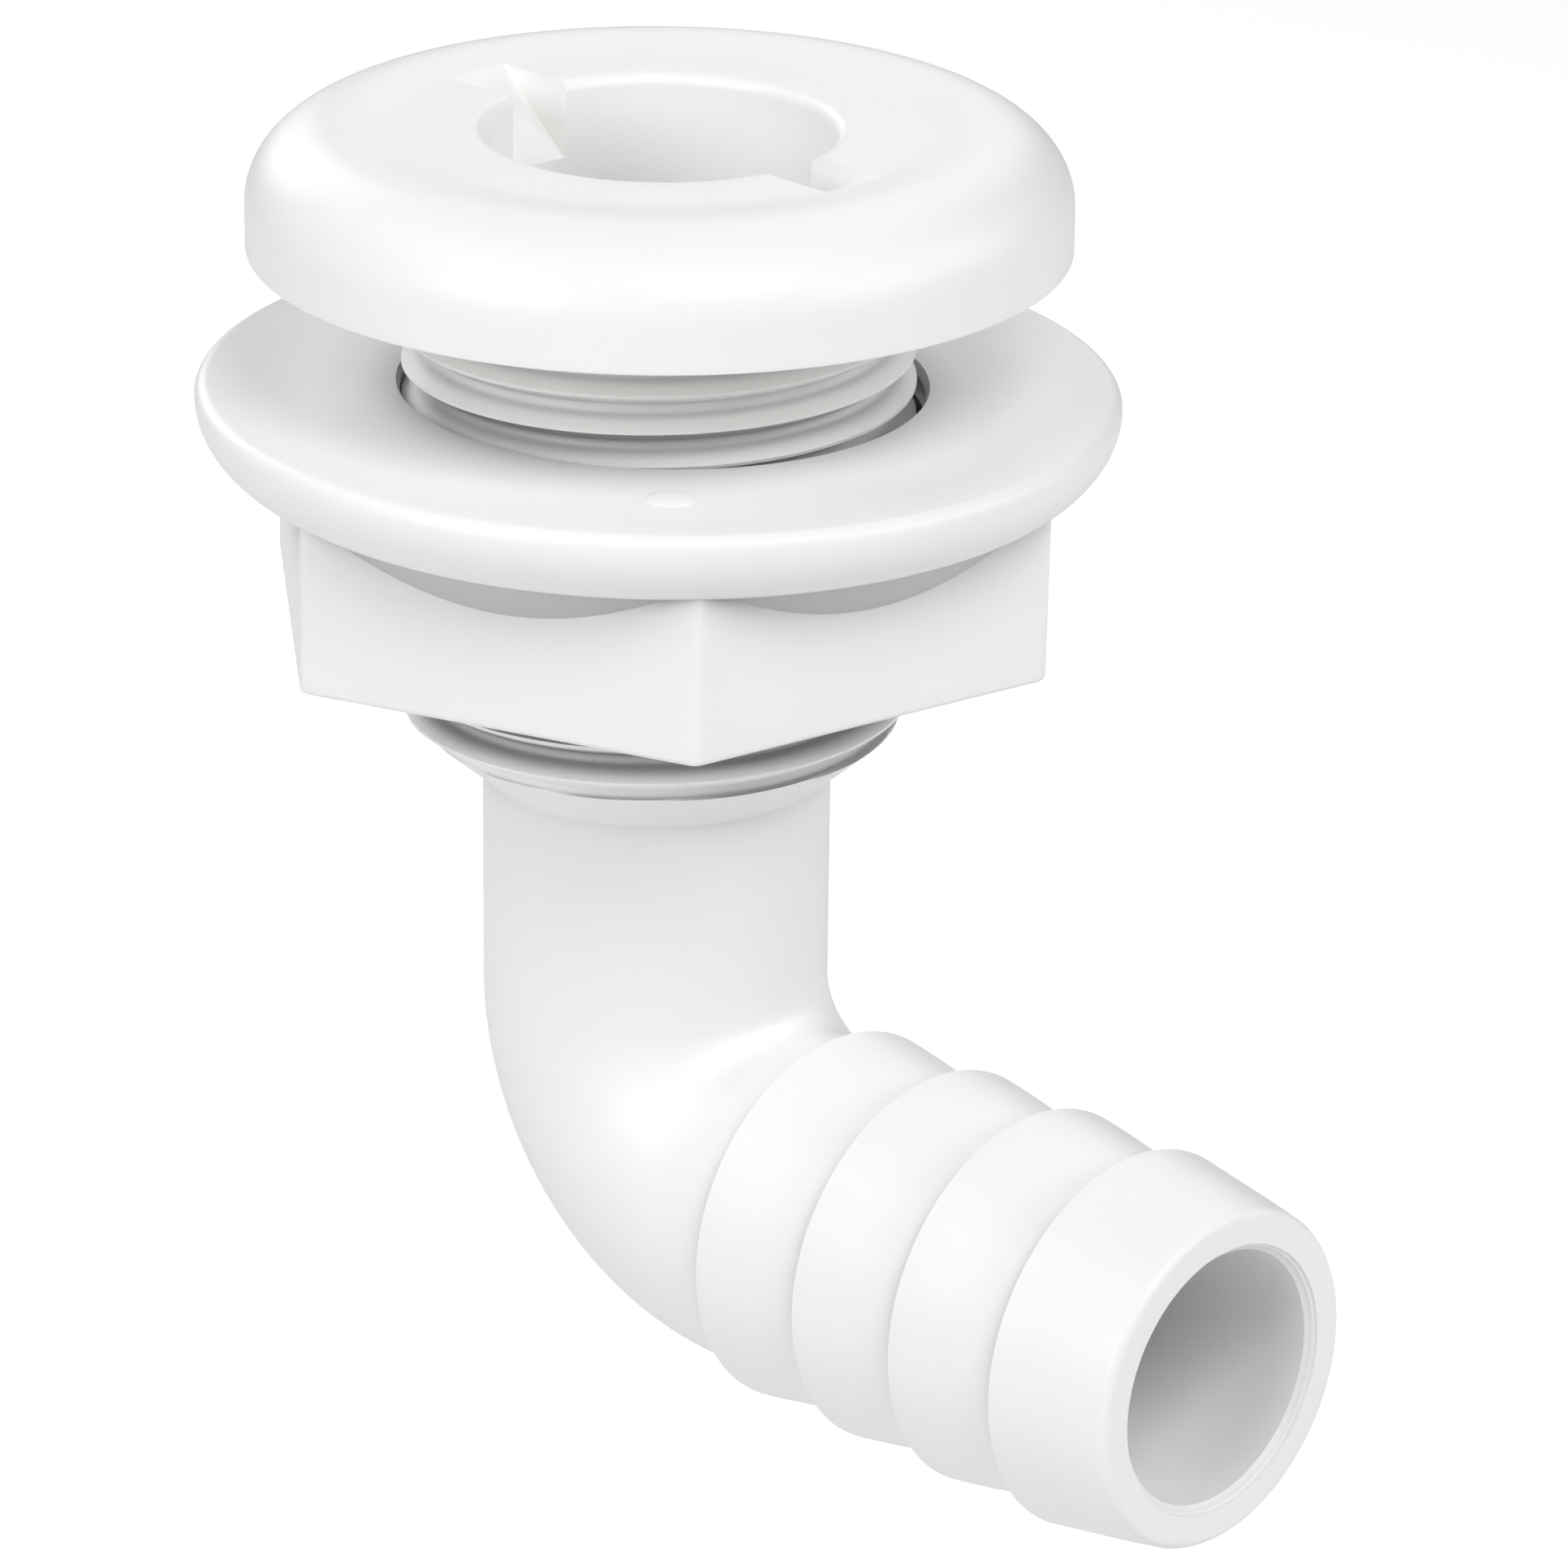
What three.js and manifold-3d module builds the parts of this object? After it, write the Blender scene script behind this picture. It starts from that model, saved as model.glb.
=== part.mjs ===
// Ninety-degree thru hull fitting for a 3/4 in hose, with its flanged hex nut.
// Millimetres. +Z runs up the stem to the mushroom head, and +X out along the hose tail.
// The origin is on the stem's axis, in the plane of the head's flat underside, which seats on the hull.
import * as THREE from 'three';
import { mergeVertices } from 'three/addons/utils/BufferGeometryUtils.js';
import Module from 'manifold-3d';

const wasm = await Module();
wasm.setup();

// Head: flat seat below, upright rim, rounded shoulder, and a shallow dish round the bore.
const HEAD_RADIUS = 21.1;
const RIM_HEIGHT = 2.3;
const CREST_RADIUS = 16.6;
const CREST_HEIGHT = 6.4;
const DISH_RADIUS = 15.2;
const DISH_HEIGHT = 6.2;

// Stem bore and the two tool notches in its mouth, which lie in the plane of the hose tail.
const STEM_BORE_RADIUS = 9;
const BORE_EDGE = 0.6;
const STEM_BORE_END = -23;
const NOTCH_WIDTH = 3.8;
const NOTCH_REACH = 13.6;
const NOTCH_FLOOR = 2.1;

// Threaded stem: 60 degree right-hand thread, and a lead-in cone below it.
const THREAD_RADIUS = 13.22;
const THREAD_DEPTH = 1.16;
const PITCH = 1.88;
const CREST_FLAT = 0.16;
const FLANK_SLOPE = Math.tan(Math.PI / 6);
const THREAD_LOW = -28.03;
const THREAD_TURNS = 14.1;
const STEM_END = -28.5;
const LEAD_SLOPE = 0.86;

// Pipe, elbow and hose tail.
const PIPE_RADIUS = 9.1;
const PIPE_BORE_RADIUS = 6.75;
const PIPE_BORE_START = -27.5;
const BEND_RADIUS = 10;
const TAIL_HEIGHT = -50.25;
const FIRST_BARB = 13.06;
const BARB_SPACING = 6.83;
const BARB_COUNT = 4;
const BARB_RADIUS = 10.02;
const BARB_ROOT_RADIUS = 9.15;
const TAIL_LENGTH = 40.34;
const MOUTH_RADIUS = 9;
const MOUTH_EDGE = 0.45;

// Flanged nut, shown part way up the thread. A cone, the skirt, runs from its flange in to its flats.
const NUT_TOP = -7.4;
const FLANGE_RADIUS = 23.8;
const FLANGE_EDGE = 0.7;
const FLANGE_FOOT = -11.5;
const SKIRT_RADIUS = 18.5;
const SKIRT_FOOT = -14.2;
const BOWL_WIDTH = 4.5;
const BOWL_DEPTH = 4;
const HEX_RADIUS = 21.7;
const HEX_CORNER = 0.7;
const HEX_TURN = THREE.MathUtils.degToRad(21);
const NUT_BOTTOM = -20;
const NUT_BORE_RADIUS = 13.5;
const NUT_LEAD_RADIUS = 13.8;
const NUT_LEAD = 0.6;
const NUT_THREAD_DEPTH = 0.9;
const NUT_THREAD_TURNS = 5;

const SEGMENTS = 28;
const ARC_STEPS = 6;
const CORNER_STEPS = 4;
const BEND_STEPS = 9;
const QUARTER = Math.PI / 2;
const STUB = BEND_RADIUS * QUARTER / BEND_STEPS;
const BEND_JOIN = BEND_RADIUS + STUB / 2;
const OVERLAP = 1;
const EMBED = 0.2;
const WELD = 1e-4;

const moulded = () => new THREE.MeshStandardMaterial({ color: 0xf0f1ef, roughness: 0.32, metalness: 0 });

// --- helpers -----------------------------------------------------------------------------------

// A manifold solid from a geometry's positions, with its seams welded and slivers left out.
function toSolid(geometry) {
  const bare = new THREE.BufferGeometry();
  bare.setAttribute('position', geometry.getAttribute('position'));
  bare.setIndex(geometry.index);
  const merged = mergeVertices(bare, WELD);
  const corners = merged.index.array;
  const triangles = [];
  for (let i = 0; i < corners.length; i += 3) {
    const [a, b, c] = [corners[i], corners[i + 1], corners[i + 2]];
    if (a !== b && b !== c && c !== a) triangles.push(a, b, c);
  }
  const mesh = new wasm.Mesh({
    numProp: 3,
    vertProperties: new Float32Array(merged.getAttribute('position').array),
    triVerts: new Uint32Array(triangles),
  });
  return new wasm.Manifold(mesh);
}

function toMesh(name, solid) {
  const result = solid.getMesh();
  const geometry = new THREE.BufferGeometry();
  geometry.setAttribute('position', new THREE.BufferAttribute(result.vertProperties, 3));
  geometry.setIndex(new THREE.BufferAttribute(result.triVerts, 1));
  geometry.computeVertexNormals();
  const mesh = new THREE.Mesh(geometry, moulded());
  mesh.name = name;
  return mesh;
}

// A profile of [radius, height] points turned round Z, from the axis at the bottom to the axis at the top.
function revolve(profile) {
  const points = profile.map(([radius, height]) => new THREE.Vector2(radius, height));
  return toSolid(new THREE.LatheGeometry(points, SEGMENTS).rotateX(QUARTER));
}

// The same, turned round the hose tail's axis, with heights measured along +X from the stem's axis.
function revolveTail(profile) {
  return revolve(profile).rotate([0, 90, 0]).translate([0, 0, TAIL_HEIGHT]);
}

// Points of an elliptical arc in a profile, both ends included.
function arc(centre, radii, start, end) {
  return Array.from({ length: ARC_STEPS + 1 }, (_, i) => {
    const angle = start + (end - start) * i / ARC_STEPS;
    return [centre[0] + radii[0] * Math.cos(angle), centre[1] + radii[1] * Math.sin(angle)];
  });
}

// The elbow's centre line: a stub of the pipe, a quarter turn, and a stub of the hose tail.
class BendCurve extends THREE.Curve {
  getPoint(t) {
    const step = t * (BEND_STEPS + 2) - 1;
    const turned = THREE.MathUtils.clamp(step, 0, BEND_STEPS);
    const angle = QUARTER * turned / BEND_STEPS;
    const down = Math.min(step, 0) * STUB;
    const along = Math.max(step - BEND_STEPS, 0) * STUB;
    return new THREE.Vector3(
      BEND_RADIUS * (1 - Math.cos(angle)) + along, 0,
      TAIL_HEIGHT + BEND_RADIUS * (1 - Math.sin(angle)) - down);
  }
}

function bend(radius) {
  const section = new THREE.Shape().absarc(0, 0, radius, 0, 2 * Math.PI);
  const options = { steps: BEND_STEPS + 2, curveSegments: SEGMENTS / 2, extrudePath: new BendCurve() };
  return toSolid(new THREE.ExtrudeGeometry(section, options));
}

// A trapezoid wound up a right-hand helix: half is its half height at each of the two radii.
function helix(innerRadius, outerRadius, innerHalf, outerHalf, low, turns) {
  const section = [
    [innerRadius, -innerHalf], [outerRadius, -outerHalf],
    [outerRadius, outerHalf], [innerRadius, innerHalf]];
  const steps = Math.round(turns * SEGMENTS);
  const positions = [];
  const indices = [];
  for (let step = 0; step <= steps; step++) {
    const angle = 2 * Math.PI * step / SEGMENTS;
    const height = low + PITCH * step / SEGMENTS;
    for (const [radius, offset] of section) {
      positions.push(radius * Math.cos(angle), radius * Math.sin(angle), height + offset);
    }
  }
  for (let step = 0; step < steps; step++) {
    for (let side = 0; side < 4; side++) {
      const a = 4 * step + side;
      const b = 4 * step + (side + 1) % 4;
      indices.push(a, b + 4, b, a, a + 4, b + 4);
    }
  }
  const last = 4 * steps;
  indices.push(0, 1, 2, 0, 2, 3, last, last + 2, last + 1, last, last + 3, last + 2);
  const geometry = new THREE.BufferGeometry();
  geometry.setAttribute('position', new THREE.Float32BufferAttribute(positions, 3));
  geometry.setIndex(indices);
  return toSolid(geometry);
}

// --- hull fitting body ---------------------------------------------------------------------------

function head() {
  const shoulder = arc(
    [CREST_RADIUS, RIM_HEIGHT], [HEAD_RADIUS - CREST_RADIUS, CREST_HEIGHT - RIM_HEIGHT], 0, QUARTER);
  return revolve([[0, 0], [HEAD_RADIUS, 0], ...shoulder, [DISH_RADIUS, DISH_HEIGHT], [0, DISH_HEIGHT]]);
}

// The threaded stem, running up into the head. One lead-in cone cuts its core and its ridge.
function threadedStem() {
  const root = THREAD_RADIUS - THREAD_DEPTH;
  const crestHalf = CREST_FLAT / 2;
  const footHalf = crestHalf + (THREAD_DEPTH + EMBED) * FLANK_SLOPE;
  const core = revolve([
    [0, STEM_END - OVERLAP], [root, STEM_END - OVERLAP], [root, RIM_HEIGHT], [0, RIM_HEIGHT]]);
  const ridge = helix(root - EMBED, THREAD_RADIUS, footHalf, crestHalf, THREAD_LOW, THREAD_TURNS);
  const clear = THREAD_RADIUS + OVERLAP;
  const envelope = revolve([
    [0, STEM_END], [PIPE_RADIUS, STEM_END], [clear, STEM_END + LEAD_SLOPE * (clear - PIPE_RADIUS)],
    [clear, RIM_HEIGHT + OVERLAP], [0, RIM_HEIGHT + OVERLAP]]);
  return core.add(ridge).intersect(envelope);
}

function hoseTail() {
  const profile = [[0, BEND_JOIN], [PIPE_RADIUS, BEND_JOIN]];
  for (let i = 0; i < BARB_COUNT; i++) {
    const barb = FIRST_BARB + i * BARB_SPACING;
    profile.push([i ? BARB_ROOT_RADIUS : PIPE_RADIUS, barb], [BARB_RADIUS, barb]);
  }
  profile.push(
    ...arc([MOUTH_RADIUS - MOUTH_EDGE, TAIL_LENGTH - MOUTH_EDGE], [MOUTH_EDGE, MOUTH_EDGE], 0, QUARTER),
    [0, TAIL_LENGTH]);
  return revolveTail(profile);
}

function waterway() {
  const flare = arc(
    [STEM_BORE_RADIUS + BORE_EDGE, DISH_HEIGHT - BORE_EDGE], [BORE_EDGE, BORE_EDGE], Math.PI, QUARTER);
  const stem = revolve([
    [0, TAIL_HEIGHT + BEND_JOIN], [PIPE_BORE_RADIUS, TAIL_HEIGHT + BEND_JOIN],
    [PIPE_BORE_RADIUS, PIPE_BORE_START], [STEM_BORE_RADIUS, STEM_BORE_END],
    ...flare, [STEM_BORE_RADIUS + BORE_EDGE, CREST_HEIGHT + OVERLAP], [0, CREST_HEIGHT + OVERLAP]]);
  const tail = revolveTail([
    [0, BEND_JOIN], [PIPE_BORE_RADIUS, BEND_JOIN], [PIPE_BORE_RADIUS, TAIL_LENGTH - MOUTH_EDGE],
    [PIPE_BORE_RADIUS + MOUTH_EDGE, TAIL_LENGTH],
    [PIPE_BORE_RADIUS + MOUTH_EDGE, TAIL_LENGTH + OVERLAP], [0, TAIL_LENGTH + OVERLAP]]);
  return stem.add(bend(PIPE_BORE_RADIUS)).add(tail);
}

// A wedge that ramps from the dish down to the notch floor at the bore's wall.
function toolNotch(turn) {
  const outline = new THREE.Shape([
    new THREE.Vector2(NOTCH_REACH, DISH_HEIGHT), new THREE.Vector2(NOTCH_REACH, CREST_HEIGHT + OVERLAP),
    new THREE.Vector2(STEM_BORE_RADIUS - OVERLAP, CREST_HEIGHT + OVERLAP),
    new THREE.Vector2(STEM_BORE_RADIUS - OVERLAP, NOTCH_FLOOR),
    new THREE.Vector2(STEM_BORE_RADIUS, NOTCH_FLOOR)]);
  const geometry = new THREE.ExtrudeGeometry(outline, { depth: NOTCH_WIDTH, bevelEnabled: false });
  geometry.translate(0, 0, -NOTCH_WIDTH / 2).rotateX(QUARTER).rotateZ(turn);
  return toSolid(geometry);
}

function fittingBody() {
  const pipe = revolve([
    [0, TAIL_HEIGHT + BEND_JOIN], [PIPE_RADIUS, TAIL_HEIGHT + BEND_JOIN],
    [PIPE_RADIUS, STEM_END + OVERLAP], [0, STEM_END + OVERLAP]]);
  const outside = head().add(threadedStem()).add(pipe).add(bend(PIPE_RADIUS)).add(hoseTail());
  const body = outside.subtract(waterway()).subtract(toolNotch(0)).subtract(toolNotch(Math.PI));
  return toMesh('hull_fitting_body', body);
}

// --- flange nut ----------------------------------------------------------------------------------

function hexPrism() {
  const outline = new THREE.Shape();
  const centre = HEX_RADIUS - HEX_CORNER / Math.sin(Math.PI / 3);
  for (let i = 0; i < 6; i++) {
    const angle = HEX_TURN + i * Math.PI / 3;
    outline.absarc(
      centre * Math.cos(angle), centre * Math.sin(angle), HEX_CORNER,
      angle - Math.PI / 6, angle + Math.PI / 6);
  }
  const depth = FLANGE_FOOT + OVERLAP - NUT_BOTTOM;
  const options = { depth, bevelEnabled: false, curveSegments: CORNER_STEPS };
  const geometry = new THREE.ExtrudeGeometry(outline, options);
  geometry.translate(0, 0, NUT_BOTTOM);
  return toSolid(geometry);
}

function flangeNut() {
  const shoulderHeight = NUT_TOP - FLANGE_EDGE;
  const bowlCentre = FLANGE_RADIUS - BOWL_WIDTH;
  const footAngle = -Math.asin((shoulderHeight - FLANGE_FOOT) / BOWL_DEPTH);
  const flange = revolve([
    [0, SKIRT_FOOT], [SKIRT_RADIUS, SKIRT_FOOT],
    ...arc([bowlCentre, shoulderHeight], [BOWL_WIDTH, BOWL_DEPTH], footAngle, 0),
    ...arc([FLANGE_RADIUS - FLANGE_EDGE, shoulderHeight], [FLANGE_EDGE, FLANGE_EDGE], 0, QUARTER).slice(1),
    [0, NUT_TOP]]);
  const bore = revolve([
    [0, NUT_BOTTOM - OVERLAP], [NUT_LEAD_RADIUS, NUT_BOTTOM - OVERLAP], [NUT_LEAD_RADIUS, NUT_BOTTOM],
    [NUT_BORE_RADIUS, NUT_BOTTOM + NUT_LEAD], [NUT_BORE_RADIUS, NUT_TOP - NUT_LEAD],
    [NUT_LEAD_RADIUS, NUT_TOP], [NUT_LEAD_RADIUS, NUT_TOP + OVERLAP], [0, NUT_TOP + OVERLAP]]);
  const grooveHalf = CREST_FLAT / 2;
  const mouthHalf = grooveHalf + (NUT_THREAD_DEPTH + EMBED) * FLANK_SLOPE;
  const groove = helix(
    NUT_BORE_RADIUS - EMBED, NUT_BORE_RADIUS + NUT_THREAD_DEPTH, mouthHalf, grooveHalf,
    NUT_BOTTOM + NUT_LEAD + PITCH / 2, NUT_THREAD_TURNS);
  const nut = flange.add(hexPrism()).subtract(bore).subtract(groove);
  return toMesh('flange_nut', nut);
}

const fitting = new THREE.Group();
fitting.add(fittingBody(), flangeNut());

export default fitting;
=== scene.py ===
"""Looks of the ninety-degree thru hull fitting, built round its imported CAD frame.

Metres, in the CAD's frame: +Z up the stem to the head, +X out along the hose tail. The constants and the
profiles are in millimetres, and are scaled where meshes and materials are made.
"""
import math

import bmesh
import bpy
from mathutils import Matrix, Vector


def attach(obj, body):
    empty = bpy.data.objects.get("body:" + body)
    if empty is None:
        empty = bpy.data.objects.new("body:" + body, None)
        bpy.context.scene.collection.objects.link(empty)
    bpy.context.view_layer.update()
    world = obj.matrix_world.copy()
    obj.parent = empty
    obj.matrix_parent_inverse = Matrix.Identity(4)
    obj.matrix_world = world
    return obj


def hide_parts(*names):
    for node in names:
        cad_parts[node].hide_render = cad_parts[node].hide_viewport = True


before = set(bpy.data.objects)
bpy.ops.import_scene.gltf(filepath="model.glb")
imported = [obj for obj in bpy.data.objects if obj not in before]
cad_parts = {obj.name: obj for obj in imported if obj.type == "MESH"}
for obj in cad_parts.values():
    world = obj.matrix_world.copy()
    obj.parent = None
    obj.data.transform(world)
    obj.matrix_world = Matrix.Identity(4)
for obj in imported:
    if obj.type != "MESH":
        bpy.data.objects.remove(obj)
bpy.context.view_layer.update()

MM = 0.001
TAU = 2 * math.pi
QUARTER = math.pi / 2
SIXTH = math.pi / 3
WELD = 2e-6  # points closer than this, in metres, are one point
CREASE = math.radians(28)  # an edge that turns more than this is shaded sharp

# Head
HEAD_R, RIM_Z, CREST_R, CREST_Z = 21.1, 2.3, 16.4, 6.4
DISH_R, DISH_Z, DISH_BLEND = 15.0, 6.16, 2.0
SEAT_EDGE = 0.1
# Stem bore and its two tool notches
BORE_R, BORE_EDGE, BORE_END = 9.0, 0.6, -23.0
NOTCH_W, NOTCH_REACH, NOTCH_FLOOR, NOTCH_LIP = 3.8, 13.6, 2.1, 0.01
OVERCUT = 1.0  # how far a cutter runs past what it cuts
# Thread. It runs out on the stem's root just below the head, and into the lead-in cone at its low end.
PITCH = 1.88
THREAD_R, THREAD_DEPTH, CREST_FLAT, FLANK = 13.22, 1.16, 0.16, math.radians(30)
THREAD_LOW, THREAD_HIGH, RUNOUT_SLOPE, THREAD_TOP = -29.2, -1.55, 2.0, -0.25
CREST_AT = -5.47  # a crest's height where it crosses +X
GROOVE_STEPS = 24
STEM_END, LEAD_SLOPE = -28.5, 0.86
# Pipe, elbow and hose tail
PIPE_R, PIPE_TOP, PIPE_BORE_R, PIPE_BORE_TOP = 9.1, STEM_END - 0.2, 6.75, -27.5
BEND_R, BEND_STEPS, TAIL_Z = 10.0, 40, -50.25
PARTING = 0.02  # the mould's parting line stands this proud along the pipe and elbow
BARBS, BARB_R, BARB_ROOT_R = (13.06, 19.93, 26.66, 33.54), 10.02, 9.15
BARB_FACE, BARB_EDGE, BARB_HOLLOW, BARB_STEPS = 0.02, 0.04, 0.16, 18
TAIL_END, MOUTH_R, MOUTH_EDGE, MOUTH_SWELL = 40.34, 9.0, 0.5, 0.03
# The ring inside the mouth's lip: how far outside the bore, and how far in from the end, at each step.
MOUTH_RING = ((0.45, 0.0), (0.40, 0.12), (0.26, 0.2), (0.22, 0.3), (0.0, 0.5))
MOUTH_RING_DEPTH = MOUTH_RING[-1][1]
# Flange nut
NUT_TOP, NUT_FOOT, FOOT_EDGE = -7.4, -20.15, 0.35
FLANGE_R, FLANGE_EDGE = 23.8, 0.7
BOWL_W, BOWL_H = 4.5, 3.8
# The skirt is a cone from the flange's foot in to the hexagon's flats, set back behind the flange's lip.
SKIRT_TOP_R, SKIRT_R, SKIRT_Z, LIP = 21.5, 18.5, -14.4, 0.25
HEX_R, HEX_CORNER, HEX_TURN = 21.9, 0.7, math.radians(20.5)
NUT_BORE_R, NUT_LEAD_R, NUT_LEAD = 13.5, 13.7, 0.4
GROOVE_DEPTH, GROOVE_FADE, GROOVE_TURNS = 0.9, 0.5, 10
PIP_REACH, PIP_TURN, PIP_R, PIP_HEIGHT, PIP_SUNK = 18.0, math.radians(-43), 1.3, 0.17, 0.03
# The nut leans a little on its thread, within the play, round a level line through its flange.
NUT_LEAN, LEAN_AT, LEAN_ROUND = -0.012, -8.1, Vector((0.6944, -0.7196, 0))
NUT_PLAY = Vector((0.14, 0.14, 0))  # the bore sits this far off the stem's axis, within its clearance

# Painted shade, a darker base colour in hollows and on undersides, in zones up a piece. Each zone has the
# heights over which it takes over from the zone below, and how the surface's openness, or how far up it
# faces, maps to tone, from a low and a high value to two tones. None leaves the zone alone.
BODY_PAINTED_SHADE = (
    (None, (0.5, 0.93, 0.45, 1.0)),  # hose tail and the elbow's outside
    ((-42.5, -41.0), None),  # elbow's inner corner
    ((-35.0, -33.0), (0.55, 0.9, 0.35, 1.0)),  # pipe below the stem
    ((STEM_END - 0.05, STEM_END + 0.1), (0.5, 0.75, 0.3, 1.0)),  # thread below the nut
    ((-19.0, -18.0), None),  # thread inside the nut
    ((NUT_TOP - 0.6, NUT_TOP), (0.3, 0.58, 0.35, 1.0)),  # thread above the nut
    ((-0.4, 0.0), None),  # head
)
NUT_PAINTED_SHADE = (
    (None, (0.5, 0.87, 0.3, 1.0)),  # hexagon and skirt
    ((-11.5, -5.0), None),  # flange
)
# Painted shade on the nut's downward faces: the skirt's colour is darker the further it faces down.
NUT_UNDERSIDE_PAINTED_SHADE = (
    (None, None),  # hexagon
    ((-15.0, -14.5), (-0.55, -0.35, 0.6, 1.0)),  # skirt
    ((-11.4, -11.2), None),  # flange
)


# --- profiles ------------------------------------------------------------------------------------

def spaced(a, b, steps):
    """Evenly spaced values from a to b, a left out."""
    return [a + (b - a) * i / steps for i in range(1, steps + 1)]


def line(a, b, steps):
    """Points from a to b, a left out."""
    return list(zip(spaced(a[0], b[0], steps), spaced(a[1], b[1], steps)))


def arc(cr, cz, rr, rz, start, end, steps):
    """Points of an elliptical arc as (radius, height), angles in degrees, both ends included."""
    angles = [math.radians(degrees) for degrees in [start] + spaced(start, end, steps)]
    return [(cr + rr * math.cos(angle), cz + rz * math.sin(angle)) for angle in angles]


def thread_depth(stop):
    """How far below its crest a thread lies, stop millimetres along the pitch from the crest's middle.
    Its flanks are straight and its root is round."""
    slope = math.tan(FLANK)
    from_root = abs(PITCH / 2 - stop % PITCH)
    apex = (PITCH - CREST_FLAT) / 2 / slope
    rounding = apex - THREAD_DEPTH
    if from_root < rounding * math.cos(FLANK):
        return apex - 2 * rounding + math.sqrt(rounding ** 2 - from_root ** 2)
    return max(apex - from_root / slope, 0)


# Stops along one pitch: the crest's middle, its upper edge, and the groove up to the next crest's lower edge.
THREAD_STOPS = [0.0, CREST_FLAT / 2] + spaced(CREST_FLAT / 2, PITCH - CREST_FLAT / 2, GROOVE_STEPS)


# --- making meshes ---------------------------------------------------------------------------------

def link_mesh(name, bm):
    """Puts a bmesh in the scene as an object of this name, and frees it."""
    mesh = bpy.data.meshes.new(name)
    bm.to_mesh(mesh)
    bm.free()
    made = bpy.data.objects.new(name, mesh)
    bpy.context.scene.collection.objects.link(made)
    return made


def skin(name, turns, column_of):
    """A closed mesh from lengthwise columns at these angles, the last a full turn on from the first.
    Every column has as many points, and is a loop."""
    bm = bmesh.new()
    columns = [[bm.verts.new(p * MM) for p in column_of(turn)] for turn in turns]
    count = len(columns[0])
    for a, b in zip(columns, columns[1:]):
        for i in range(count):
            j = (i + 1) % count
            bm.faces.new((a[i], a[j], b[j], b[i]))
    bmesh.ops.remove_doubles(bm, verts=bm.verts, dist=WELD)
    bmesh.ops.dissolve_degenerate(bm, edges=bm.edges, dist=WELD / 4)
    bmesh.ops.recalc_face_normals(bm, faces=bm.faces)
    return link_mesh(name, bm)


def combine(piece, other, operation):
    """Cuts the other object out of the piece, or joins it on, and removes the other object."""
    modifier = piece.modifiers.new("combine", "BOOLEAN")
    modifier.operation, modifier.object, modifier.solver = operation, other, "EXACT"
    bpy.context.view_layer.update()
    made = bpy.data.meshes.new_from_object(piece.evaluated_get(bpy.context.evaluated_depsgraph_get()))
    piece.modifiers.clear()
    old, piece.data = piece.data, made
    bpy.data.meshes.remove(old)
    bpy.data.objects.remove(other)


def finish_piece(piece, material):
    piece.data.shade_smooth()
    piece.data.set_sharp_from_angle(angle=CREASE)
    piece.data.materials.clear()
    piece.data.materials.append(material)


# --- the moulding ---------------------------------------------------------------------------------

def stem_ring(r, z, turn):
    return Vector((r * math.cos(turn), r * math.sin(turn), z))


def bend_ring(r, swing, turn):
    """A point of a ring round the elbow's centre line, swing radians along it from the pipe."""
    reach = BEND_R - r * math.cos(turn)
    top = TAIL_Z + BEND_R
    return Vector((BEND_R - reach * math.cos(swing), r * math.sin(turn), top - reach * math.sin(swing)))


def tail_ring(r, x, turn):
    return Vector((x, r * math.sin(turn), TAIL_Z + r * math.cos(turn)))


def head_profile():
    """From the bore's edge out over the dish and shoulder and down the rim to the seat."""
    points = arc(BORE_R + BORE_EDGE, DISH_Z - BORE_EDGE, BORE_EDGE, BORE_EDGE, 180, 90, 8)
    points += line(points[-1], (DISH_R - DISH_BLEND, DISH_Z), 4)
    for t in spaced(0, 1, 16):  # the dish eases up on to the crest
        r = DISH_R - DISH_BLEND + (CREST_R - DISH_R + DISH_BLEND) * t
        points.append((r, DISH_Z + (CREST_Z - DISH_Z) * (3 * t * t - 2 * t * t * t)))
    points += arc(CREST_R, RIM_Z, HEAD_R - CREST_R, CREST_Z - RIM_Z, 90, 0, 40)[1:]
    points += line(points[-1], (HEAD_R, SEAT_EDGE), 4)
    points += arc(HEAD_R - SEAT_EDGE, SEAT_EDGE, SEAT_EDGE, SEAT_EDGE, 0, -90, 5)[1:]
    points += line(points[-1], (THREAD_R - THREAD_DEPTH, 0), 4)
    return points


def thread_profile(turn):
    """The thread at one angle, top to bottom. Its points follow the helix, so that each column meets the
    next along the crest, and those past either end fall on that end."""
    root = THREAD_R - THREAD_DEPTH
    first = CREST_AT - PITCH * round((CREST_AT - THREAD_LOW) / PITCH)
    # The turns run past both ends at every angle, so that every column has as many points.
    highest = math.ceil((THREAD_HIGH - THREAD_LOW) / PITCH) + 1
    lowest = -2
    points = []
    for n in range(highest, lowest - 1, -1):
        for stop in reversed(THREAD_STOPS):
            z = first + PITCH * n + stop + PITCH * turn / TAU
            r = max(root, THREAD_R - thread_depth(stop) - max(z - THREAD_HIGH, 0) * RUNOUT_SLOPE)
            z = min(max(z, STEM_END), THREAD_TOP)
            points.append((min(r, PIPE_R + (z - STEM_END) / LEAD_SLOPE), z))
    return points


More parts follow.
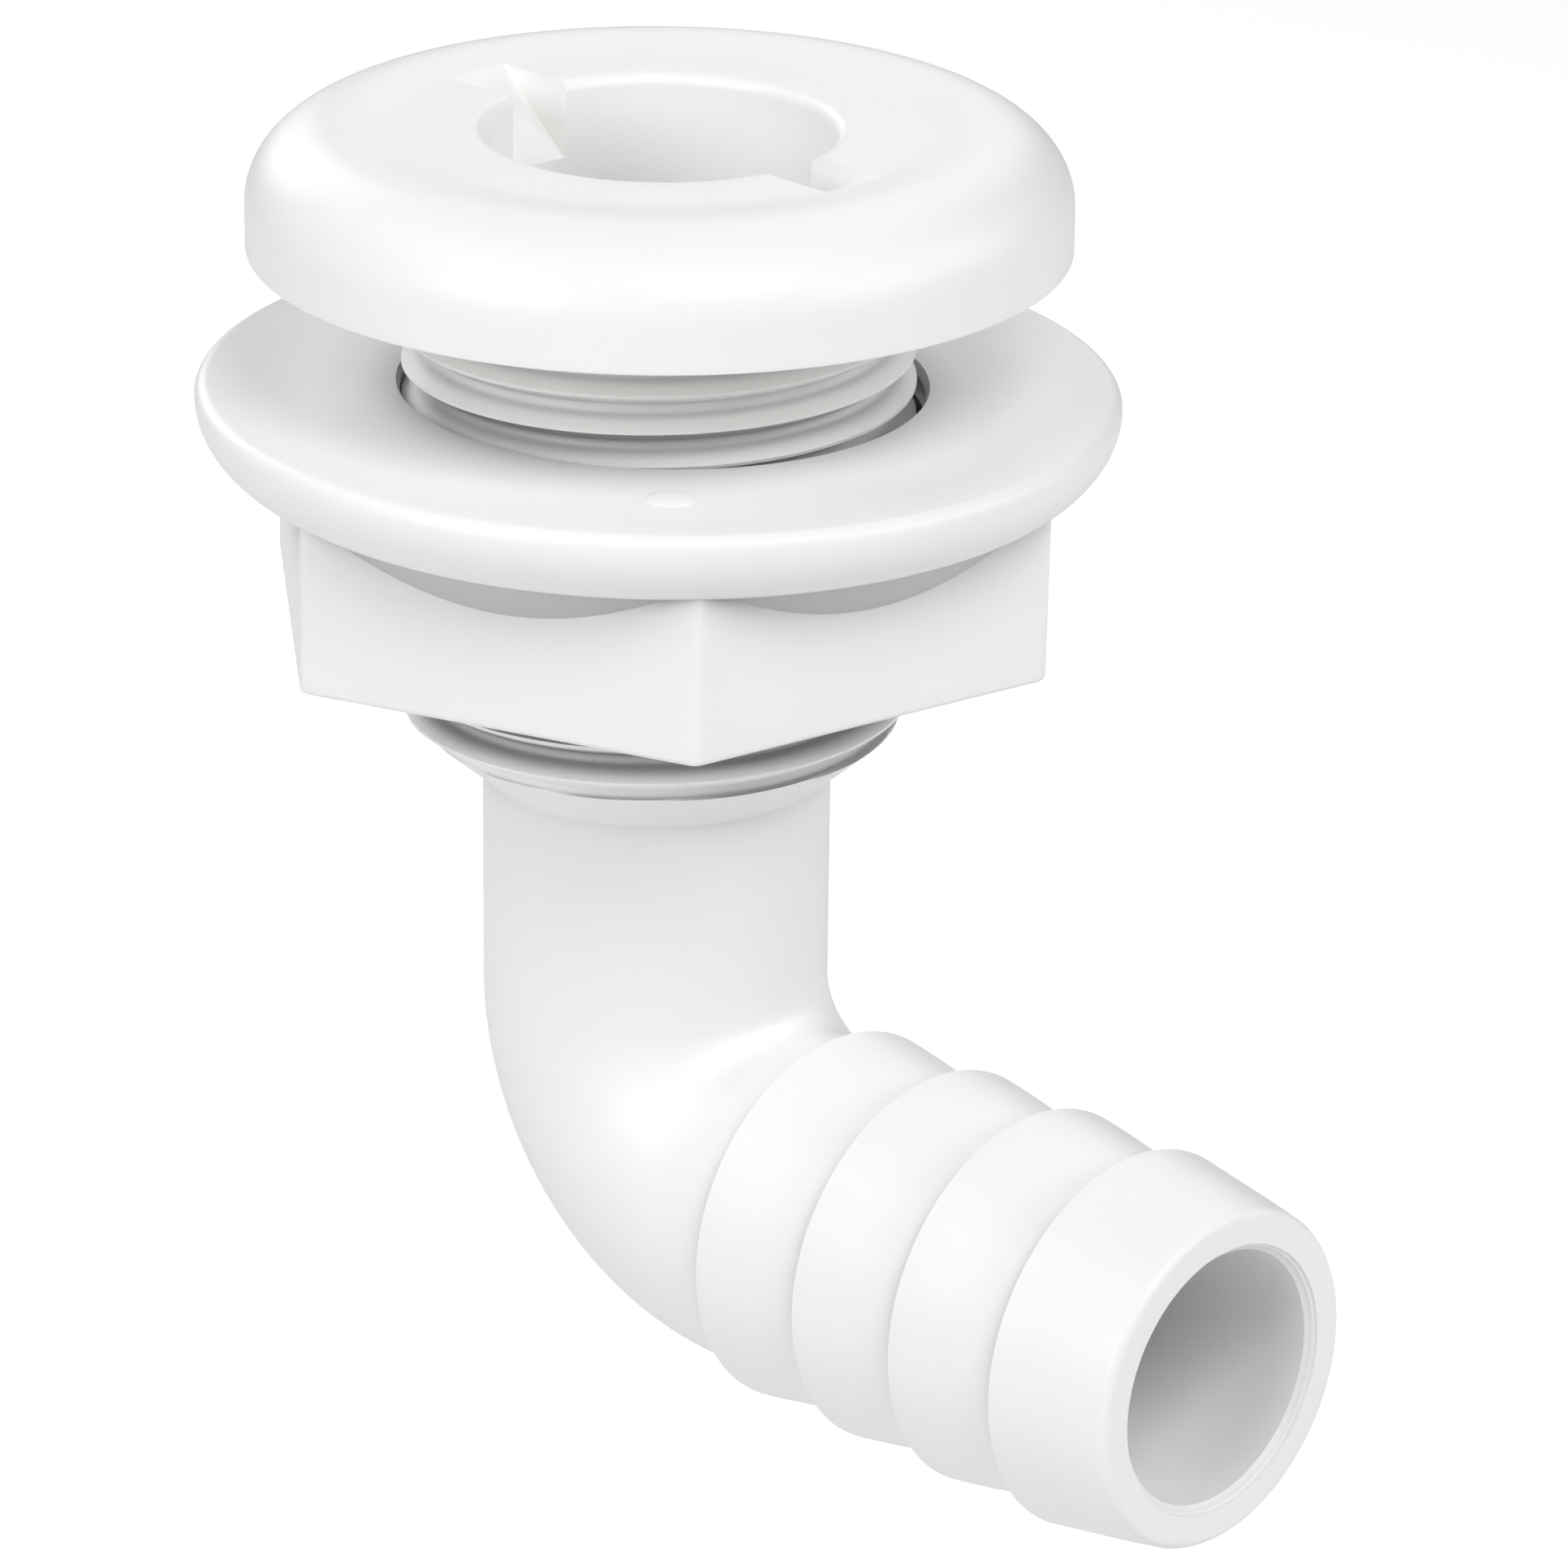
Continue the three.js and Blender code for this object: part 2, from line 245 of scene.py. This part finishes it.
def tail_profile():
    """The hose tail's outside, from the elbow to its mouth. Each barb is a step, a cone that narrows
    towards the mouth, and a hollow where it meets the next step. The last cone swells a little instead."""
    points = []
    for i, x in enumerate(BARBS):
        last = i + 1 == len(BARBS)
        root = PIPE_R if i == 0 else BARB_ROOT_R
        points += [(root, x - BARB_FACE), (BARB_R - BARB_EDGE, x), (BARB_R, x + BARB_EDGE)]
        start = x + BARB_EDGE
        end = TAIL_END - MOUTH_EDGE if last else BARBS[i + 1] - BARB_FACE
        end_r, hollow = (MOUTH_R, -MOUTH_SWELL) if last else (BARB_ROOT_R, BARB_HOLLOW)
        for t in spaced(0, 1, BARB_STEPS):
            r = BARB_R + (end_r - BARB_R) * t - hollow * math.sin(math.pi * t * t)
            points.append((r, start + (end - start) * t))
    points += arc(MOUTH_R - MOUTH_EDGE, TAIL_END - MOUTH_EDGE, MOUTH_EDGE, MOUTH_EDGE, 0, 90, 6)[1:]
    ring = [(PIPE_BORE_R + out, TAIL_END - back) for out, back in MOUTH_RING]
    return points + line(points[-1], ring[0], 4) + ring[1:]


def moulding_column(turn):
    """One lengthwise line of the body's skin: out of the bore, over the head, down the stem, round the
    elbow, out to the mouth, and back up the waterway to where it began."""
    on_parting = abs(math.sin(turn)) < 1e-6
    pipe_r = PIPE_R + (PARTING if on_parting else 0)
    bend_top = TAIL_Z + BEND_R
    outside_swings, inside_swings = spaced(0, QUARTER, BEND_STEPS), spaced(QUARTER, 0, BEND_STEPS)
    column = [stem_ring(r, z, turn) for r, z in head_profile() + thread_profile(turn)]
    column += [stem_ring(pipe_r, z, turn) for z in spaced(PIPE_TOP, bend_top, 12)]
    column += [bend_ring(pipe_r, swing, turn) for swing in outside_swings]
    column += [tail_ring(r, x, turn) for r, x in tail_profile()]
    column += [tail_ring(PIPE_BORE_R, x, turn) for x in spaced(TAIL_END - MOUTH_RING_DEPTH, BEND_R, 20)]
    column += [bend_ring(PIPE_BORE_R, swing, turn) for swing in inside_swings]
    column += [stem_ring(PIPE_BORE_R, z, turn) for z in spaced(bend_top, PIPE_BORE_TOP, 8)]
    bore = line((PIPE_BORE_R, PIPE_BORE_TOP), (BORE_R, BORE_END), 8)
    bore += line((BORE_R, BORE_END), (BORE_R, DISH_Z - BORE_EDGE), 14)[:-1]
    return column + [stem_ring(r, z, turn) for r, z in bore]


def notch_cutter(side):
    """A wedge that ramps from the dish down to the notch's floor at the bore's wall."""
    inner = BORE_R - 2 * OVERCUT
    outline = [(NOTCH_REACH, DISH_Z + NOTCH_LIP), (NOTCH_REACH, CREST_Z + OVERCUT),
               (inner, CREST_Z + OVERCUT), (inner, NOTCH_FLOOR), (BORE_R, NOTCH_FLOOR)]
    bm = bmesh.new()
    near, far = ([bm.verts.new(Vector((side * x, y, z)) * MM) for x, z in outline]
                 for y in (-NOTCH_W / 2, NOTCH_W / 2))
    for i in range(len(outline)):
        j = (i + 1) % len(outline)
        bm.faces.new((near[i], near[j], far[j], far[i]))
    bm.faces.new(near)
    bm.faces.new(far)
    bmesh.ops.recalc_face_normals(bm, faces=bm.faces)
    return link_mesh("notch_cutter", bm)


# --- the nut --------------------------------------------------------------------------------------

def hex_radius(turn):
    """How far the hexagon, with its rounded corners, reaches at this angle."""
    off = abs((turn - HEX_TURN + SIXTH / 2) % SIXTH - SIXTH / 2)
    centre = HEX_R - HEX_CORNER / math.sin(SIXTH)
    flat = centre * math.cos(SIXTH / 2) + HEX_CORNER
    across = SIXTH / 2 - off
    tangent = math.atan2(centre * math.sin(SIXTH / 2), flat)
    if across > tangent:
        return centre * math.cos(off) + math.sqrt(HEX_CORNER ** 2 - (centre * math.sin(off)) ** 2)
    return flat / math.cos(across)


def nut_turns():
    """Angles round the nut, closer together at the hexagon's corners."""
    # Degrees from a corner to the middle of the flat beside it, and on to the next corner.
    corner = [0.35 * i for i in range(11)] + [4, 5, 6.5]
    half = corner + spaced(corner[-1], 30, 16)
    side = half + [60 - step for step in reversed(half[1:-1])]
    first = math.degrees(HEX_TURN)
    around = sorted((60 * i + step + first) % 360 for i in range(6) for step in side)
    return [0.0] + [math.radians(degrees) for degrees in around] + [TAU]


def nut_bore_profile(turn):
    """Up the nut's bore at one angle: a lead, and a helical groove that fades out at either end."""
    low, high = NUT_FOOT + NUT_LEAD, NUT_TOP - NUT_LEAD
    points = [(NUT_LEAD_R, NUT_FOOT), (NUT_BORE_R, low)]
    for n in range(-1, GROOVE_TURNS - 1):
        for stop in THREAD_STOPS:
            z = NUT_FOOT + n * PITCH + stop + PITCH * turn / TAU
            depth = max(GROOVE_DEPTH - thread_depth(stop), 0)
            fade = min(max((z - low) / GROOVE_FADE, 0), 1) * min(max((high - z) / GROOVE_FADE, 0), 1)
            points.append((NUT_BORE_R + depth * fade, min(max(z, low), high)))
    return points + [(NUT_BORE_R, high), (NUT_LEAD_R, NUT_TOP)]


def nut_outside_profile(turn):
    """At one angle, out over the flange and its bowl, in along the skirt, down the hexagon and in
    across its foot."""
    shoulder = NUT_TOP - FLANGE_EDGE
    bowl_centre = FLANGE_R - BOWL_W
    reach = hex_radius(turn)
    foot_r = max(SKIRT_TOP_R, reach)
    foot_angle = math.degrees(math.acos((foot_r - bowl_centre) / BOWL_W))
    points = line((NUT_LEAD_R, NUT_TOP), (FLANGE_R - FLANGE_EDGE, NUT_TOP), 8)
    points += arc(FLANGE_R - FLANGE_EDGE, shoulder, FLANGE_EDGE, FLANGE_EDGE, 90, 0, 8)[1:]
    points += arc(bowl_centre, shoulder, BOWL_W, BOWL_H, 0, -foot_angle, 20)[1:]
    lip = min(LIP, foot_r - reach)
    top_r, top_z = foot_r - lip / 2, points[-1][1] + lip
    slope = (top_z - SKIRT_Z) / (top_r - SKIRT_R)
    points.append((top_r, top_z))
    points += line(points[-1], (reach, top_z - slope * (top_r - reach)), 6)
    points += line(points[-1], (reach, NUT_FOOT + FOOT_EDGE), 8)
    points += arc(reach - FOOT_EDGE, NUT_FOOT + FOOT_EDGE, FOOT_EDGE, FOOT_EDGE, 0, -90, 6)[1:]
    return points + line(points[-1], (NUT_LEAD_R, NUT_FOOT), 6)[:-1]


def nut_column(turn):
    """One lengthwise line of the nut's skin: over the outside, and up the bore to where it began."""
    outside = [stem_ring(r, z, turn) for r, z in nut_outside_profile(turn)]
    return outside + [stem_ring(r, z, turn) + NUT_PLAY for r, z in nut_bore_profile(turn)]


def flange_pip():
    """A low round pip on the flange's face."""
    bm = bmesh.new()
    bmesh.ops.create_uvsphere(bm, u_segments=48, v_segments=24, radius=1)
    place = stem_ring(PIP_REACH, NUT_TOP - PIP_SUNK, PIP_TURN)
    for vert in bm.verts:
        vert.co = (vert.co * Vector((PIP_R, PIP_R, PIP_HEIGHT)) + place) * MM
    return link_mesh("flange_pip", bm)


# --- materials ------------------------------------------------------------------------------------

WHITE = (0.93, 0.935, 0.92)
# Each noise has a scale per metre, a detail and a roughness.
CLOUDS, CLOUD_TONES = (70, 3, 0.5), (0.985, 1.01)
SHEEN_PATCHES, ROUGHNESS = (420, 4, 0.6), (0.36, 0.46)
GRAIN, GRAIN_STRENGTH, GRAIN_DEPTH = (900, 5, 0.6), 0.06, 0.04
PLASTIC_IOR = 1.46
# Samples for the ambient occlusion behind the painted shade in hollows.
PAINTED_SHADE_SAMPLES = 12


def plastic(name, seed, painted_shade_reach, painted_shade_zones, underside_painted_shade=None):
    """White moulded plastic: a soft gloss over a fine grain, with faint cloudy flow marks. Shade is painted
    into its
    colour: darker in hollows, by how open the surface is there, and on undersides, by how far its normal
    points down."""
    material = bpy.data.materials.new(name)
    material.use_nodes = True
    nodes, links = material.node_tree.nodes, material.node_tree.links
    shader = nodes["Principled BSDF"]
    where = nodes.new("ShaderNodeTexCoord")
    shift = nodes.new("ShaderNodeMapping")
    shift.inputs["Location"].default_value = (seed, seed * 0.7, -seed)
    links.new(where.outputs["Object"], shift.inputs["Vector"])
    height = nodes.new("ShaderNodeSeparateXYZ")
    links.new(where.outputs["Object"], height.inputs["Vector"])

    def noise(scale, detail, roughness):
        node = nodes.new("ShaderNodeTexNoise")
        node.inputs["Scale"].default_value = scale
        node.inputs["Detail"].default_value = detail
        node.inputs["Roughness"].default_value = roughness
        links.new(shift.outputs["Vector"], node.inputs["Vector"])
        return node.outputs["Fac"]

    def remap(value, spans):
        """Maps a value from the first two numbers to the last two, and holds it between them."""
        node = nodes.new("ShaderNodeMapRange")
        for socket, number in zip(("From Min", "From Max", "To Min", "To Max"), spans):
            node.inputs[socket].default_value = number
        links.new(value, node.inputs["Value"])
        return node.outputs["Result"]

    def mix(factor, a, b):
        """From a to b as the factor goes from 0 to 1. Each is a number or a socket."""
        node = nodes.new("ShaderNodeMix")
        links.new(factor, node.inputs["Factor"])
        for socket, value in (("A", a), ("B", b)):
            if isinstance(value, float):
                node.inputs[socket].default_value = value
            else:
                links.new(value, node.inputs[socket])
        return node.outputs["Result"]

    def zoned(value, zones):
        """The tone of a value, by the zone that the height falls in."""
        tones = None
        for heights, spans in zones:
            tone_here = remap(value, spans) if spans else 1.0
            if heights is None:
                tones = tone_here
            else:
                low, high = heights
                above = remap(height.outputs["Z"], (low * MM, high * MM, 0.0, 1.0))
                tones = mix(above, tones, tone_here)
        return tones

    clouds = nodes.new("ShaderNodeValToRGB")
    dark, light = clouds.color_ramp.elements
    dark.position, light.position = 0.3, 0.7
    for element, tone in zip((dark, light), CLOUD_TONES):
        element.color = [c * tone for c in WHITE] + [1]
    links.new(noise(*CLOUDS), clouds.inputs["Fac"])

    # Painted shade: ambient occlusion darkens the base colour in hollows, grooves and creases.
    painted_nook_shade = nodes.new("ShaderNodeAmbientOcclusion")
    painted_nook_shade.samples = PAINTED_SHADE_SAMPLES
    painted_nook_shade.inputs["Distance"].default_value = painted_shade_reach * MM
    tones = zoned(painted_nook_shade.outputs["AO"], painted_shade_zones)
    # Painted shade: the base colour darkens where the surface faces down.
    if underside_painted_shade:
        surface = nodes.new("ShaderNodeNewGeometry")
        facing = nodes.new("ShaderNodeSeparateXYZ")
        links.new(surface.outputs["Normal"], facing.inputs["Vector"])
        both = nodes.new("ShaderNodeMath")
        both.operation = "MULTIPLY"
        links.new(tones, both.inputs[0])
        links.new(zoned(facing.outputs["Z"], underside_painted_shade), both.inputs[1])
        tones = both.outputs["Value"]
    shaded = nodes.new("ShaderNodeVectorMath")
    shaded.operation = "SCALE"
    links.new(clouds.outputs["Color"], shaded.inputs[0])
    links.new(tones, shaded.inputs["Scale"])
    links.new(shaded.outputs["Vector"], shader.inputs["Base Color"])

    links.new(remap(noise(*SHEEN_PATCHES), (0.0, 1.0, *ROUGHNESS)), shader.inputs["Roughness"])
    bump = nodes.new("ShaderNodeBump")
    bump.inputs["Strength"].default_value = GRAIN_STRENGTH
    bump.inputs["Distance"].default_value = GRAIN_DEPTH * MM
    links.new(noise(*GRAIN), bump.inputs["Height"])
    links.new(bump.outputs["Normal"], shader.inputs["Normal"])
    shader.inputs["IOR"].default_value = PLASTIC_IOR
    return material


# --- the pieces -----------------------------------------------------------------------------------

BODY_SEGMENTS = 240
body = skin("hull_fitting_moulding", [0.0] + spaced(0, TAU, BODY_SEGMENTS), moulding_column)
for side in (1, -1):
    combine(body, notch_cutter(side), "DIFFERENCE")
finish_piece(body, plastic("fitting_white_plastic", seed=3.1, painted_shade_reach=4, painted_shade_zones=BODY_PAINTED_SHADE))

nut = skin("flange_nut_moulding", nut_turns(), nut_column)
combine(nut, flange_pip(), "UNION")
lean_point = Matrix.Translation(Vector((0, 0, LEAN_AT)) * MM)
nut.data.transform(lean_point @ Matrix.Rotation(NUT_LEAN, 4, LEAN_ROUND) @ lean_point.inverted())
finish_piece(nut, plastic("nut_white_plastic", seed=7.7, painted_shade_reach=5, painted_shade_zones=NUT_PAINTED_SHADE,
                          underside_painted_shade=NUT_UNDERSIDE_PAINTED_SHADE))

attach(body, "fitting")
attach(nut, "nut")
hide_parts("hull_fitting_body")
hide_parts("flange_nut")

# --- stage ------------------------------------------------------------------------------------------

TARGET = Vector((0.008, 0, -0.024))
SOFTBOX_SIZE = 0.5
# Each softbox stands 1 m from the target: azimuth from -Y round towards +X, elevation, and power in watts.
SOFTBOXES = {
    "front_left": (0, 22, 4.23), "front_right": (67.5, 50, 4.04), "right": (108, 22, 2.41),
    "back_right": (144, 22, 2.06), "back_top": (202.5, 50, 0.89), "back": (216, 22, 0.69),
    "back_left": (252, 22, 2.20), "left_top": (292.5, 50, 1.08), "left_front_top": (337.5, 50, 1.75),
}
FLOOR_Z, FLOOR_R, FLOOR_GAP, FLOOR_GLOW = -0.2, 12, 0.001, 0.42
CAMERA_PLACE, CAMERA_LENS = Vector((0.26131, -0.26101, 0.11914)), 174.447
CAMERA_AZIMUTH, CAMERA_ELEVATION, CAMERA_ROLL = 43.998, 21.949, 0.725


def softbox(name, azimuth, elevation, power):
    a, e = math.radians(azimuth), math.radians(elevation)
    towards = Vector((math.sin(a) * math.cos(e), -math.cos(a) * math.cos(e), math.sin(e)))
    data = bpy.data.lights.new(name, "AREA")
    data.shape, data.size, data.energy = "DISK", SOFTBOX_SIZE, power
    lamp = bpy.data.objects.new(name, data)
    lamp.location = TARGET + towards
    lamp.rotation_euler = (-towards).to_track_quat("-Z", "Y").to_euler()
    lamp.visible_camera = False
    bpy.context.scene.collection.objects.link(lamp)


def floor_disc(name, z, brightness):
    """A plain pale floor, well below the part, that may shine a little by itself."""
    bm = bmesh.new()
    bmesh.ops.create_circle(bm, cap_ends=True, segments=96, radius=FLOOR_R)
    disc = link_mesh(name, bm)
    disc.location.z = z
    pale = bpy.data.materials.new(name)
    pale.use_nodes = True
    shader = pale.node_tree.nodes["Principled BSDF"]
    shader.inputs["Base Color"].default_value = (0.85, 0.85, 0.85, 1)
    shader.inputs["Roughness"].default_value = 0.9
    shader.inputs["Emission Color"].default_value = (1, 1, 1, 1)
    shader.inputs["Emission Strength"].default_value = brightness
    disc.data.materials.append(pale)
    return disc


# The bright floor is what the camera sees, and the dull one beneath it sends the lights back up at the part.
bright_floor = floor_disc("bright_floor", FLOOR_Z, FLOOR_GLOW)
bright_floor.visible_diffuse = bright_floor.visible_glossy = bright_floor.visible_shadow = False
dull_floor = floor_disc("dull_floor", FLOOR_Z - FLOOR_GAP, 0)
dull_floor.visible_camera = False

for name, (azimuth, elevation, power) in SOFTBOXES.items():
    softbox(name, azimuth, elevation, power)

world = bpy.data.worlds.new("studio")
world.use_nodes = True
world.node_tree.nodes["Background"].inputs["Strength"].default_value = 0
bpy.context.scene.world = world
bpy.context.scene.view_settings.view_transform = "Standard"

camera_data = bpy.data.cameras.new("camera")
camera_data.sensor_width = 36
camera_data.lens = CAMERA_LENS
camera = bpy.data.objects.new("camera", camera_data)
camera.matrix_world = (
    Matrix.Translation(CAMERA_PLACE) @ Matrix.Rotation(math.radians(CAMERA_AZIMUTH), 4, "Z")
    @ Matrix.Rotation(math.radians(90 - CAMERA_ELEVATION), 4, "X")
    @ Matrix.Rotation(math.radians(CAMERA_ROLL), 4, "Z"))
bpy.context.scene.collection.objects.link(camera)
bpy.context.scene.camera = camera
